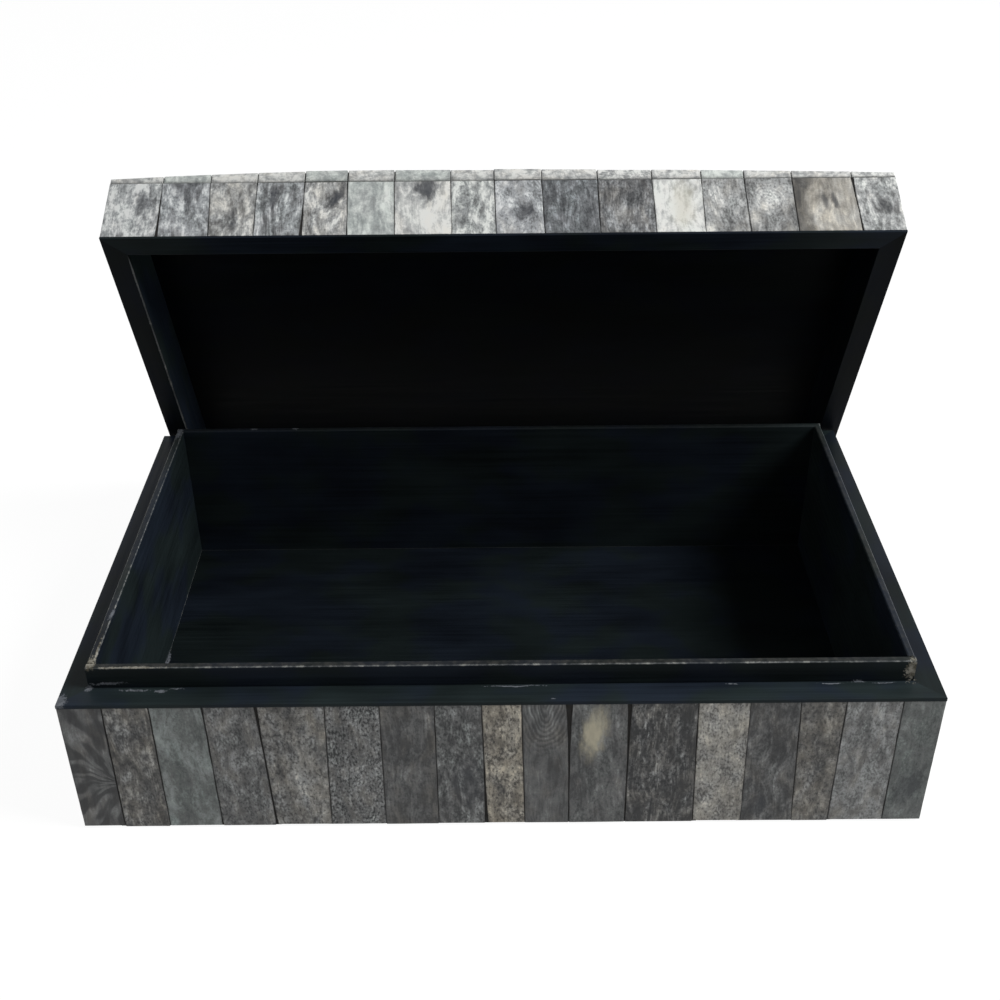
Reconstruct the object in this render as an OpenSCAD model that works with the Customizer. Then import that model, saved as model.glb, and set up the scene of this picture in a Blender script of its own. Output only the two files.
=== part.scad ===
// Rectangular keepsake box veneered with bone tiles, black inside, with a lift-off lid.
// The lid stands behind the base on one long rim edge and leans on the base's back edge.
// Millimetres, +Z up. The origin is the centre of the base's underside.
// X runs along the box, -Y is the front, and the lid leans at the +Y side.

/* [Overall] */
// Length of base and lid over the tiles
box_l = 305; // [240:1:360]
// Depth of base and lid over the tiles, front to back
box_w = 189; // [150:1:230]
// Height of the base, from the table to the top of its rim
base_h = 58.5; // [45:0.5:80]
// Height of the lid's walls, from its rim to the joint under the top slabs
lid_h = 29.5; // [24:0.5:45]

/* [Wooden carcass] */
// Thickness of the four base boards
base_board_t = 7; // [5:0.5:10]
// Room between the lip and the inside of the lid's boards, all round
lid_play = 0.6; // [0.3:0.1:1.5]
// Thickness of the base's bottom panel
bottom_t = 3; // [2:0.5:6]
// Thickness of the lid's top panel
top_t = 5; // [3:0.5:7]
// Thickness of the black rim strips of the base
base_rim_t = 1.4; // [0.8:0.1:3]
// Thickness of the black rim strips of the lid
lid_rim_t = 1; // [0.8:0.1:3]
// Thickness of the felt under the base
felt_t = 0.6; // [0.4:0.1:2]
// How far the felt stays inside the base boards
felt_inset = 2; // [1:0.5:6]

/* [Lip] */
// Thickness of the lining boards that stand up as the lip
lining_t = 2.8; // [2:0.1:4]
// Height of the lip above the base's rim
lip_h = 8.8; // [5:0.2:14]
// Radius of the eased arrises along the top of the lip
lip_ease = 0.5; // [0.2:0.1:0.8]

/* [Bone tiles] */
// Thickness of the wall tiles
tile_t = 2.4; // [1.5:0.1:4]
// Width of the dark joint between neighbouring tiles
joint_w = 0.4; // [0.2:0.1:1]
// Thickness of the top slabs at both ends of the lid
slab_end_t = 2.6; // [2:0.1:4]
// Thickness of the top slabs where the lid's top is highest
slab_crown_t = 6.2; // [4:0.1:9]
// Place of the top's highest line, measured from the middle of the lid
crown_x = -45; // [-80:5:80]
// Number of courses of slabs across the lid's top
top_courses = 3; // [3:1:5]

/* [Lid as it stands] */
// Lean of the lid, turned up from its closed position
lid_lean = 65.2; // [55:0.1:80]
// How far the lid stands to the right of the base
lid_shift = 2.4; // [-10:0.2:10]
// Gap between two faces that rest on each other in separate bodies
rest_gap = 0.3; // [0.1:0.1:0.6]

/* [Hidden] */

// Colours as they look from a step away
black_lacquer = [0.09, 0.10, 0.12];
black_felt = [0.05, 0.05, 0.05];
bone_greys = [[0.52, 0.52, 0.50], [0.40, 0.39, 0.40], [0.60, 0.59, 0.55], [0.46, 0.49, 0.48]];

// Widths of hand-cut tiles, left to right, in millimetres on the 305 mm box.
// Each row is stretched to fill its wall.
base_front_widths = [15.4, 16.2, 18.3, 18.3, 23.6, 18.8, 18.9, 16.2, 13.8, 16.3,
    20.9, 23.5, 17.8, 17.3, 15.7, 19.4, 14.6];
base_back_widths = [17.2, 19.5, 15.8, 21.4, 18.1, 16.6, 22.3, 14.9, 18.7, 17.5,
    20.2, 16.1, 19.0, 15.2, 18.4, 17.6, 16.5];
lid_front_widths = [20.6, 18.5, 18.2, 18.4, 16.6, 18.1, 21.7, 17.0, 18.4, 21.7,
    21.1, 19.1, 16.6, 18.6, 23.3, 17.1];
lid_back_widths = [18.3, 16.9, 21.2, 19.4, 17.8, 20.7, 16.3, 19.9, 18.6, 22.4,
    17.1, 18.8, 21.6, 16.4, 20.1, 19.5];
side_widths = [17.4, 20.3, 18.6, 22.1, 16.8, 19.7, 18.2, 21.0, 16.5, 18.4];
lid_side_widths = [19.1, 17.6, 21.3, 18.9, 16.7, 20.4, 18.0, 17.2, 20.8, 19.0];
top_middle_widths = [14.2, 19.8, 17.5, 21.6, 18.3, 16.4, 20.9, 19.2, 17.7, 22.5,
    16.9, 20.3, 18.8, 17.0, 21.1, 19.6, 13.2];
top_back_widths = [18.7, 20.9, 16.2, 19.5, 22.0, 17.4, 18.1, 20.6, 16.8, 21.3,
    18.4, 17.9, 19.7, 21.8, 16.6, 19.1];

// How far the foot of each joint strays sideways, hand-cut tiles being never quite square
base_slants = [-0.6, -0.2, 0.6, 2.2, -1.4, -0.3, -0.1, 1.2, 1.3, 0.9, 0.5, 1.7, 1.3, 2.6, 0.1, 0.6];
lid_slants = [0.6, 1.7, 0.5, 0.1, 1, 0.9, 0.9, 0.6, 0.8, 0.1, 0.2, -0.3, 0.3, -0.3, 0.5];
small_slants = [0.3, -0.4, 0.5, -0.2, 0.6, -0.5, 0.2, 0.4, -0.3];

// The carcass stays one tile inside the outside faces, and its lip stands inside the boards
carcass_l = box_l - 2*tile_t;
carcass_w = box_w - 2*tile_t;
lip_inset = tile_t + base_board_t;
lip_l = box_l - 2*lip_inset;
lip_w = box_w - 2*lip_inset;
bottom_z = felt_t;
floor_z = bottom_z + bottom_t;
board_top_z = base_h - base_rim_t;
lip_top_z = base_h + lip_h;

// The lid's boards go over the lip with some play, and its top panel lies under the slabs
lid_board_t = base_board_t - lid_play;
lid_rim_w = tile_t + lid_board_t;
lid_panel_v = lid_h - top_t;

// Foot of the lid: its lowest rim edge lies on the table, and its rim plane passes just
// behind the base's top back edge
foot_y = box_w/2 + (base_h - rest_gap)/tan(lid_lean) + rest_gap/sin(lid_lean);

// Sum of the first n values of a list
function run(w, n) = n <= 0 ? 0 : w[n - 1] + run(w, n - 1);
// Place of joint i along a wall of length l, from the wall's middle
function joint_at(w, i, l) = -l/2 + run(w, i)/run(w, len(w))*l;
// Sideways stray of joint i, none at the two ends of the wall
function stray(s, w, i) = (i <= 0 || i >= len(w)) ? 0 : s[(i - 1) % len(s)];
// Thickness of the top slabs at a place along the lid: a low rise with its highest line at crown_x
function slab_t(x) = let (reach = x < crown_x ? crown_x + box_l/2 : box_l/2 - crown_x)
    slab_end_t + (slab_crown_t - slab_end_t)*(1 - pow((x - crown_x)/reach, 2));

// One row of upright tiles, drawn in the XZ plane and standing tile_t deep in +Y from y = 0.
// Tiles at the ends of the wall keep clear of the next wall's tiles by end_gap.
module tile_row(widths, slants, l, h, end_gap) {
    n = len(widths);
    for (i = [0 : n - 1]) {
        left_gap = i == 0 ? end_gap : joint_w/2;
        right_gap = i == n - 1 ? end_gap : joint_w/2;
        x0 = joint_at(widths, i, l) + left_gap;
        x1 = joint_at(widths, i + 1, l) - right_gap;
        foot0 = x0 + stray(slants, widths, i);
        foot1 = x1 + stray(slants, widths, i + 1);
        color(bone_greys[(i*3 + n) % len(bone_greys)])
            translate([0, tile_t, 0])
            rotate([90, 0, 0])
            linear_extrude(tile_t)
            polygon([[foot0, 0], [foot1, 0], [x1, h], [x0, h]]);
    }
}

// One course of top slabs, w deep in +Y from y = 0, lying on z = 0, crowned along X
module slab_course(widths, l, w) {
    n = len(widths);
    for (i = [0 : n - 1]) {
        x0 = joint_at(widths, i, l) + (i == 0 ? 0 : joint_w/2);
        x1 = joint_at(widths, i + 1, l) - (i == n - 1 ? 0 : joint_w/2);
        color(bone_greys[(i*5 + n) % len(bone_greys)])
            translate([0, w, 0])
            rotate([90, 0, 0])
            linear_extrude(w)
            polygon([[x0, 0], [x1, 0], [x1, slab_t(x1)], [x0, slab_t(x0)]]);
    }
}

// A board whose top is eased along both long arrises, l long in X and t thick in Y
module lipped_board(l, t, h) {
    e = min(lip_ease, t/2 - 0.1);
    translate([-l/2, 0, 0])
        rotate([90, 0, 90])
        linear_extrude(l)
        polygon([[0, 0], [t, 0], [t, h - e], [t - e, h], [e, h], [0, h - e]]);
}

// Puts lid-local pieces where the lid stands. Locally the lid lies closed, rim down at z = 0,
// with its standing edge along y = 0 and its free edge at y = -box_w.
module as_it_stands() {
    translate([lid_shift, foot_y, rest_gap])
        rotate([-lid_lean, 0, 0])
        children();
}

// Base
module felt_pad() {
    felt_l = carcass_l - 2*felt_inset;
    felt_w = carcass_w - 2*felt_inset;
    color(black_felt)
        translate([-felt_l/2, -felt_w/2, 0])
        cube([felt_l, felt_w, felt_t]);
}

module bottom_panel() {
    color(black_lacquer)
        translate([-carcass_l/2, -carcass_w/2, bottom_z])
        cube([carcass_l, carcass_w, bottom_t]);
}

// Long base board, side = -1 for the front and 1 for the back
module base_long_board(side) {
    y = side < 0 ? -carcass_w/2 : carcass_w/2 - base_board_t;
    color(black_lacquer)
        translate([-carcass_l/2, y, floor_z])
        cube([carcass_l, base_board_t, board_top_z - floor_z]);
}

// Short base board between the long ones, side = -1 for the left and 1 for the right
module base_short_board(side) {
    x = side < 0 ? -carcass_l/2 : carcass_l/2 - base_board_t;
    color(black_lacquer)
        translate([x, -lip_w/2, floor_z])
        cube([base_board_t, lip_w, board_top_z - floor_z]);
}

module base_front_board() { base_long_board(-1); }
module base_back_board() { base_long_board(1); }
module base_left_board() { base_short_board(-1); }
module base_right_board() { base_short_board(1); }

// Long lining boards run the full length of the lip, and the short ones fit between them
module lining_long(side) {
    y = side < 0 ? -lip_w/2 : lip_w/2 - lining_t;
    color(black_lacquer)
        translate([0, y, floor_z])
        lipped_board(lip_l, lining_t, lip_top_z - floor_z);
}

module lining_short(side) {
    x = side < 0 ? -lip_l/2 + lining_t : lip_l/2;
    color(black_lacquer)
        translate([x, 0, floor_z])
        rotate([0, 0, 90])
        lipped_board(lip_w - 2*lining_t, lining_t, lip_top_z - floor_z);
}

module lining_front() { lining_long(-1); }
module lining_back() { lining_long(1); }
module lining_left() { lining_short(-1); }
module lining_right() { lining_short(1); }

// A frame strip with mitred ends, centred on x = 0, its outer edge on y = 0 and w wide in +Y
module mitred_strip(l, w, t) {
    linear_extrude(t)
        polygon([[-l/2, 0], [l/2, 0], [l/2 - w, w], [-l/2 + w, w]]);
}

// Base rim strips cover the boards and the tile ends, out to the tiles' faces
module base_rim_strip(turn, l, out) {
    color(black_lacquer)
        translate([0, 0, board_top_z])
        rotate([0, 0, turn])
        translate([0, -out, 0])
        mitred_strip(l, lip_inset, base_rim_t);
}

module base_rim_front() { base_rim_strip(0, box_l, box_w/2); }
module base_rim_right() { base_rim_strip(90, box_w, box_l/2); }
module base_rim_back() { base_rim_strip(180, box_l, box_w/2); }
module base_rim_left() { base_rim_strip(270, box_w, box_l/2); }

// Base tiles run from the underside of the bottom panel up to the rim strips.
// The front and back rows cover the ends of the side rows.
module base_tiles(turn, widths, slants, l, out, end_gap) {
    translate([0, 0, bottom_z])
        rotate([0, 0, turn])
        translate([0, -out, 0])
        tile_row(widths, slants, l, board_top_z - bottom_z, end_gap);
}

module base_front_tiles() { base_tiles(0, base_front_widths, base_slants, box_l, box_w/2, 0); }
module base_back_tiles() { base_tiles(180, base_back_widths, small_slants, box_l, box_w/2, 0); }
module base_right_tiles() {
    base_tiles(90, side_widths, small_slants, carcass_w, box_l/2, joint_w/2);
}
module base_left_tiles() {
    base_tiles(270, side_widths, small_slants, carcass_w, box_l/2, joint_w/2);
}

// Lid, drawn closed with its free front edge at y = -box_w and its standing edge at y = 0
module lid_long_board(y) {
    as_it_stands()
        color(black_lacquer)
        translate([-carcass_l/2, y, lid_rim_t])
        cube([carcass_l, lid_board_t, lid_panel_v - lid_rim_t]);
}

module lid_short_board(x) {
    inner_w = carcass_w - 2*lid_board_t;
    as_it_stands()
        color(black_lacquer)
        translate([x, -box_w/2 - inner_w/2, lid_rim_t])
        cube([lid_board_t, inner_w, lid_panel_v - lid_rim_t]);
}

module lid_front_board() { lid_long_board(-box_w + tile_t); }
module lid_back_board() { lid_long_board(-tile_t - lid_board_t); }
module lid_left_board() { lid_short_board(-carcass_l/2); }
module lid_right_board() { lid_short_board(carcass_l/2 - lid_board_t); }

module lid_top_panel() {
    as_it_stands()
        color(black_lacquer)
        translate([-carcass_l/2, -box_w + tile_t, lid_panel_v])
        cube([carcass_l, carcass_w, top_t]);
}

module lid_rim_strip(turn, l, out) {
    as_it_stands()
        color(black_lacquer)
        translate([0, -box_w/2, 0])
        rotate([0, 0, turn])
        translate([0, -out, 0])
        mitred_strip(l, lid_rim_w, lid_rim_t);
}

module lid_rim_front() { lid_rim_strip(0, box_l, box_w/2); }
module lid_rim_right() { lid_rim_strip(90, box_w, box_l/2); }
module lid_rim_back() { lid_rim_strip(180, box_l, box_w/2); }
module lid_rim_left() { lid_rim_strip(270, box_w, box_l/2); }

// Lid tiles run from the rim strips to a dark joint under the top slabs
module lid_tiles(turn, widths, slants, l, out, end_gap) {
    as_it_stands()
        translate([0, -box_w/2, lid_rim_t])
        rotate([0, 0, turn])
        translate([0, -out, 0])
        tile_row(widths, slants, l, lid_h - joint_w - lid_rim_t, end_gap);
}

module lid_front_tiles() { lid_tiles(0, lid_front_widths, lid_slants, box_l, box_w/2, 0); }
module lid_back_tiles() { lid_tiles(180, lid_back_widths, small_slants, box_l, box_w/2, 0); }
module lid_right_tiles() {
    lid_tiles(90, lid_side_widths, small_slants, carcass_w, box_l/2, joint_w/2);
}
module lid_left_tiles() {
    lid_tiles(270, lid_side_widths, small_slants, carcass_w, box_l/2, joint_w/2);
}

// One course of top slabs, counted from the free front edge. The first and last courses
// reach the outside faces, and a joint lies between neighbouring courses.
module lid_top_course(index, widths) {
    course_w = box_w/top_courses;
    y0 = index*course_w + (index == 0 ? 0 : joint_w/2);
    y1 = (index + 1)*course_w - (index == top_courses - 1 ? 0 : joint_w/2);
    as_it_stands()
        translate([0, -box_w + y0, lid_h])
        slab_course(widths, box_l, y1 - y0);
}

// Every course between the first and the last one belongs to the middle
module lid_top_slabs_front() { lid_top_course(0, lid_front_widths); }
module lid_top_slabs_middle() {
    for (i = [1 : 1 : top_courses - 2]) lid_top_course(i, top_middle_widths);
}
module lid_top_slabs_back() { lid_top_course(top_courses - 1, top_back_widths); }

felt_pad();
bottom_panel();
base_front_board();
base_back_board();
base_left_board();
base_right_board();
lining_front();
lining_back();
lining_left();
lining_right();
base_rim_front();
base_rim_back();
base_rim_left();
base_rim_right();
base_front_tiles();
base_back_tiles();
base_left_tiles();
base_right_tiles();
lid_front_board();
lid_back_board();
lid_left_board();
lid_right_board();
lid_top_panel();
lid_rim_front();
lid_rim_back();
lid_rim_left();
lid_rim_right();
lid_front_tiles();
lid_back_tiles();
lid_left_tiles();
lid_right_tiles();
lid_top_slabs_front();
lid_top_slabs_middle();
lid_top_slabs_back();
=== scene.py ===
# %% [markdown]
# # A keepsake box in grey bone and black lacquer
# The real box is a plain wooden carcass. Hand-cut bone tiles are glued all over the outside, and
# everything that isn't bone is brushed with black lacquer. The lid lifts off. In the photograph it
# stands behind the base, with one long edge on the table, and leans on the base's back edge.
#
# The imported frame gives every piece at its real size. This script dresses the pieces: it cuts each
# tile again with soft, slightly crooked edges, and rubs the lacquer thin where hands did so.

# %% Load the frame
import math
import random

import bmesh
import bpy
from mathutils import Matrix, Vector, noise


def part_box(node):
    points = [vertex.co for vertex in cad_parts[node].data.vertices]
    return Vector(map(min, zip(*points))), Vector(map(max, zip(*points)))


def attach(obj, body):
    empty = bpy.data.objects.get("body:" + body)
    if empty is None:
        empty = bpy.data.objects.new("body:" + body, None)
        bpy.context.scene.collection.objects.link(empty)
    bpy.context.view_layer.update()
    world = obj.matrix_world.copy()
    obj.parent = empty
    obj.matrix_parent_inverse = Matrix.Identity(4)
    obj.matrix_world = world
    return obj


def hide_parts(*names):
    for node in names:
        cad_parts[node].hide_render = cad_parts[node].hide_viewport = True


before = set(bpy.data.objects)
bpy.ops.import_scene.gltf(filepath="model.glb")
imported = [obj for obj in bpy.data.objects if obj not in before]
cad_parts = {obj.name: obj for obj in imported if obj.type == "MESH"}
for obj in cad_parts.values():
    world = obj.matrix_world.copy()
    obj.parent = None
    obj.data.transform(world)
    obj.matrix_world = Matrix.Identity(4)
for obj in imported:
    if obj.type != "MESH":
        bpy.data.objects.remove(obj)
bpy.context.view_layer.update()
MM = 0.001
MERGE = 0.01 * MM
add_to_scene = bpy.context.scene.collection.objects.link

# %% [markdown]
# ## The camera
# The photograph was taken from the front, looking down at about 35 degrees, with the camera a touch
# out of level. The place, the tilt and the lens were found by matching the box's corners. The small
# shift only repeats how the picture was cropped.

# %% Camera
CAMERA_PLACE = Vector((0.0, -450.7, 360.0)) * MM
LOOK_DOWN = math.radians(34.6)
OUT_OF_LEVEL = math.radians(-0.51)
FOCAL_IN_PICTURE_WIDTHS = 1.3604
CROP_SHIFT = 0.0675

camera_data = bpy.data.cameras.new("camera")
camera_data.sensor_width = 36.0
camera_data.lens = camera_data.sensor_width * FOCAL_IN_PICTURE_WIDTHS
camera_data.shift_y = CROP_SHIFT
camera_data.clip_start = 0.01
camera_data.clip_end = 50.0
camera = bpy.data.objects.new("camera", camera_data)
add_to_scene(camera)
camera.matrix_world = (
    Matrix.Translation(CAMERA_PLACE)
    @ Matrix.Rotation(math.pi / 2 - LOOK_DOWN, 4, "X")
    @ Matrix.Rotation(OUT_OF_LEVEL, 4, "Z")
)
bpy.context.scene.camera = camera
bpy.context.scene.view_settings.view_transform = "Standard"
print("lens in mm:", round(camera_data.lens, 1))

# %% [markdown]
# ## Wiring helpers
# A material is a small machine of nodes. These helpers add a node and wire it in one line, so that a
# finish reads from top to bottom like a recipe. A socket is linked, and any other value is written
# into the node.

# %% Node helpers
class Wires:
    """Adds nodes to one tree."""

    def __init__(self, tree):
        self.tree = tree

    def node(self, kind, values=None, **settings):
        made = self.tree.nodes.new(kind)
        for name, value in settings.items():
            setattr(made, name, value)
        for name, value in (values or {}).items():
            self.join(value, made.inputs[name])
        return made

    def join(self, value, socket):
        if isinstance(value, bpy.types.NodeSocket):
            self.tree.links.new(value, socket)
        elif socket.type == "RGBA" and len(value) == 3:
            socket.default_value = (*value, 1.0)
        else:
            socket.default_value = value

    def calc(self, operation, *values):
        """Arithmetic on one to three numbers."""
        return self.node("ShaderNodeMath", dict(enumerate(values)), operation=operation).outputs[0]

    def times(self, a, b):
        return self.calc("MULTIPLY", a, b)

    def around(self, value, strength):
        """A value that swings round 0.5 becomes one that swings round 0, this strongly."""
        return self.times(self.calc("SUBTRACT", value, 0.5), strength)

    def total(self, *values):
        result = values[0]
        for value in values[1:]:
            result = self.calc("ADD", result, value)
        return result

    def vector(self, operation, a, b):
        return self.node("ShaderNodeVectorMath", {0: a, 1: b}, operation=operation).outputs[0]

    def stretch(self, place, x, y, z):
        return self.vector("MULTIPLY", place, (x, y, z))

    def length(self, place):
        return self.node("ShaderNodeVectorMath", {0: place}, operation="LENGTH").outputs["Value"]

    def point(self, x, y, z=0.0):
        return self.node("ShaderNodeCombineXYZ", {"X": x, "Y": y, "Z": z}).outputs[0]

    def here(self):
        """The place on the piece, in metres."""
        return self.node("ShaderNodeTexCoord").outputs["Object"]

    def clouds(self, place, scale, detail=2.0, roughness=0.55):
        """Soft noise; the scale is one number, or one for each direction."""
        scale = scale if isinstance(scale, tuple) else (scale, scale, scale)
        node = self.node("ShaderNodeTexNoise", {"Vector": self.stretch(place, *scale), "Scale": 1.0,
                         "Detail": detail, "Roughness": roughness})
        return node.outputs["Fac"]

    def step(self, value, low, high, to_low=0.0, to_high=1.0):
        """A smooth step, which may also run downwards."""
        node = self.node("ShaderNodeMapRange", {"Value": value, "From Min": low, "From Max": high,
                         "To Min": to_low, "To Max": to_high}, interpolation_type="SMOOTHSTEP")
        return node.outputs["Result"]

    def ramp(self, value, *stops):
        node = self.node("ShaderNodeValToRGB", {0: value})
        while len(node.color_ramp.elements) < len(stops):
            node.color_ramp.elements.new(0.5)
        for element, (position, color) in zip(node.color_ramp.elements, stops):
            element.position = position
            element.color = (*color, 1.0)
        return node.outputs["Color"]

    def blend(self, amount, a, b, mode="MIX"):
        node = self.node("ShaderNodeMix", {0: amount, 6: a, 7: b}, data_type="RGBA", blend_type=mode)
        return node.outputs[2]

    def read(self, name, output="Fac"):
        """An attribute of the mesh, such as the place on a tile."""
        return self.node("ShaderNodeAttribute", attribute_name=name).outputs[output]

    def emboss(self, shader, height, strength, depth):
        """Raised and sunken detail for a shader, its depth in millimetres."""
        bump = self.node("ShaderNodeBump", {"Height": height, "Strength": strength,
                         "Distance": depth * MM})
        self.join(bump.outputs["Normal"], shader["Normal"])

    def finish(self, shader, group, strength, depth):
        """Takes a shader's colour, roughness and detail from a group."""
        self.join(group.outputs["Color"], shader["Base Color"])
        self.join(group.outputs["Roughness"], shader["Roughness"])
        self.emboss(shader, group.outputs["Height"], strength, depth)


def new_group(name, inputs, outputs):
    """A shader group with named sockets: its wires, its input sockets, and its output node."""
    tree = bpy.data.node_groups.new(name, "ShaderNodeTree")
    kinds = {"Place": "NodeSocketVector", "Centre": "NodeSocketVector", "Color": "NodeSocketColor"}
    for way, names in (("INPUT", inputs), ("OUTPUT", outputs)):
        for socket in names:
            kind = kinds.get(socket, "NodeSocketFloat")
            tree.interface.new_socket(socket, in_out=way, socket_type=kind)
    start = tree.nodes.new("NodeGroupInput").outputs
    end = tree.nodes.new("NodeGroupOutput").inputs
    return Wires(tree), start, end


def new_material(name):
    material = bpy.data.materials.new(name)
    material.use_nodes = True
    return material, Wires(material.node_tree), material.node_tree.nodes["Principled BSDF"].inputs


# %% [markdown]
# ## Stained bone
# Bone is never one colour. Stained grey, it has soft clouds, a mottle of a few millimetres, fine
# fibres along the bone, and small dark flecks where vessels ran. Some tiles show growth rings or rays
# round a centre, and a few kept a cream patch that took no stain. One group makes all of this from a
# place on the tile, in millimetres, and from how strong each effect is on this tile. What each amount
# means is told below, where the sorts of bone are listed.

# %% Stained bone: the pattern
AMOUNTS = ("Tone", "Warmth", "Mottle", "Flecks", "Fibre", "Rings", "Rays", "Patch", "Smudge",
           "Reach", "Long", "Turn", "Twin", "Slope", "Pitch", "Cool")
wires, start, end = new_group("stained bone", ("Place", "Centre", *AMOUNTS, "Edge"),
                              ("Color", "Roughness", "Height"))

# Nothing in bone runs dead straight, so the place is pushed sideways a little
drift = wires.node("ShaderNodeTexNoise", {"Vector": wires.stretch(start["Place"], 0.10, 0.05, 1.0),
                   "Scale": 1.0, "Detail": 1.0}).outputs["Color"]
drift = wires.stretch(wires.vector("SUBTRACT", drift, (0.5, 0.5, 0.5)), 6.0, 8.0, 0.0)
place = wires.vector("ADD", start["Place"], drift)

cloud = wires.clouds(place, (0.12, 0.055, 1.0))
mottle = wires.clouds(place, (0.40, 0.19, 1.0), detail=4.0, roughness=0.62)
fleck = wires.clouds(start["Place"], (1.30, 0.70, 1.0), detail=1.5)
fine = wires.clouds(place, (2.0, 1.3, 1.0), detail=1.0)
fibre = wires.clouds(place, (1.5, 0.09, 1.0), detail=2.0)
streak = wires.clouds(place, (0.50, 0.07, 1.0), detail=2.0)
hue = wires.clouds(place, (0.20, 0.10, 1.3))

# Rings, rays and spots share a centre, which may lie off the tile. They may be turned and drawn out
from_centre = wires.vector("SUBTRACT", place, start["Centre"])
turn = wires.calc("RADIANS", start["Turn"])
from_centre = wires.node("ShaderNodeVectorRotate", {"Vector": from_centre, "Angle": turn},
                         rotation_type="Z_AXIS").outputs[0]
axes = wires.node("ShaderNodeSeparateXYZ", {0: from_centre}).outputs
along = wires.calc("DIVIDE", axes["Y"], start["Long"])
# Twin splits the centre into two, this far to each side
aside = wires.calc("SUBTRACT", wires.calc("ABSOLUTE", axes["X"]), start["Twin"])
radius = wires.length(wires.point(aside, along))
count = wires.calc("DIVIDE", radius, start["Pitch"])
wobble = wires.times(mottle, 7.0)
rings = wires.calc("SINE", wires.calc("MULTIPLY_ADD", count, 2 * math.pi, wobble))
angle = wires.calc("ARCTAN2", axes["X"], along)
turned = wires.point(wires.times(angle, 4.2), wires.times(radius, 0.08))
rays = wires.step(wires.clouds(turned, 1.0, detail=1.0), 0.42, 0.60)

# %% Stained bone: light and dark
# Flecks crowd in some places and leave others plain
crowded = wires.total(fleck, wires.around(hue, 0.40))
dark_flecks = wires.times(wires.step(crowded, 0.48, 0.32), start["Flecks"])
light_flecks = wires.times(wires.step(fleck, 0.55, 0.68), start["Flecks"])
near = wires.calc("DIVIDE", radius, start["Reach"])
torn = wires.total(near, wires.around(mottle, 1.1))
spot = wires.step(torn, 1.25, 0.30)
smudge = wires.times(spot, start["Smudge"])
rings = wires.times(rings, wires.times(start["Rings"], wires.step(near, 1.4, 0.7)))
side = wires.node("ShaderNodeSeparateXYZ", {0: place}).outputs["X"]
value = wires.total(
    start["Tone"],
    wires.around(cloud, 0.60),
    wires.around(mottle, wires.times(start["Mottle"], 1.4)),
    wires.around(fine, 0.20),
    wires.around(fibre, wires.times(start["Fibre"], 0.7)),
    wires.around(streak, wires.calc("MULTIPLY_ADD", start["Fibre"], 0.7, 0.15)),
    wires.around(rays, wires.times(start["Rays"], 1.2)),
    wires.times(rings, 0.08),
    wires.times(dark_flecks, -0.32),
    wires.times(light_flecks, 0.15),
    wires.times(smudge, -0.26),
    wires.times(start["Slope"], wires.step(side, -9.0, -4.0, -1.0, 0.0)),
)
grey = wires.ramp(value, (0.0, (0.016, 0.017, 0.018)), (0.25, (0.055, 0.056, 0.057)),
                  (0.5, (0.147, 0.148, 0.146)), (0.75, (0.345, 0.352, 0.350)),
                  (1.0, (0.725, 0.725, 0.695)))

# %% Stained bone: colour
# Warmth below zero is green-grey and above zero tan; it wanders a little over the tile
wander = wires.step(start["Tone"], 0.5, 0.8, 1.0, 0.5)
warmth = wires.total(start["Warmth"], wires.around(hue, wander))
tint = wires.ramp(wires.calc("MULTIPLY_ADD", warmth, 0.5, 0.5), (0.0, (0.85, 1.0, 0.95)),
                  (0.5, (1.0, 1.0, 1.0)), (0.75, (1.09, 0.985, 0.83)), (1.0, (1.18, 0.97, 0.70)))
color = wires.blend(1.0, grey, tint, "MULTIPLY")
cream = wires.blend(mottle, (0.62, 0.57, 0.42), (0.36, 0.33, 0.25))
color = wires.blend(wires.times(spot, start["Patch"]), color, cream)
color = wires.blend(wires.times(smudge, 0.35), color, (0.030, 0.036, 0.048))
color = wires.blend(start["Cool"], color, (0.975, 1.0, 1.065), "MULTIPLY")

# Dark glue and dirt creep in from the joints
reach = wires.step(fine, 0.3, 0.7, 0.12, 0.75)
shows = wires.step(start["Tone"], 0.5, 0.8, 0.7, 0.45)
dirt = wires.times(wires.step(start["Edge"], reach, 0.0), shows)
color = wires.blend(dirt, color, (0.020, 0.020, 0.020))

rough = wires.total(0.34, wires.times(mottle, 0.2), wires.times(dark_flecks, 0.2))
height = wires.calc("SUBTRACT", wires.times(fine, 0.4), dark_flecks)
wires.join(color, end["Color"])
wires.join(rough, end["Roughness"])
wires.join(height, end["Height"])
bone_group = wires.tree
print("stained bone:", len(bone_group.nodes), "nodes")

# %% The bone material
bone_material, wires, shader = new_material("stained bone")
bone = wires.node("ShaderNodeGroup", node_tree=bone_group)
for name in ("Place", "Centre"):
    wires.join(wires.read(name.lower(), "Vector"), bone.inputs[name])
for name in (*AMOUNTS, "Edge"):
    wires.join(wires.read(name.lower()), bone.inputs[name])
wires.finish(shader, bone, strength=0.4, depth=0.10)
shader["Specular IOR Level"].default_value = 0.35

# %% [markdown]
# ## Where the tiles lie
# Each row of tiles is one node of the frame. A row has its own directions: along the wall, up the
# wall, and out of it. A turn takes these to the directions of the box, and for the lid a second turn
# adds its lean, which is measured from the frame.

# %% Directions of a row
def lean_of_lid():
    """Angle between the table and the lid's rim, from the two ends of a rim strip."""
    corners = [v.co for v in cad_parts["lid_rim_left"].data.vertices]
    foot = min(corners, key=lambda c: (round(c.z, 5), c.y))
    tip = min(corners, key=lambda c: (round(c.y, 5), c.z))
    return math.atan2(tip.z - foot.z, foot.y - tip.y)


LEVEL = Matrix.Identity(3)
LEANING = Matrix.Rotation(-lean_of_lid(), 3, "X")
UPRIGHT = Matrix.Rotation(math.pi / 2, 3, "X")
TURNS = {"front": 0, "right": 90, "back": 180, "left": 270}


def lean_of(node):
    return LEANING if node.startswith("lid") else LEVEL


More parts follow.
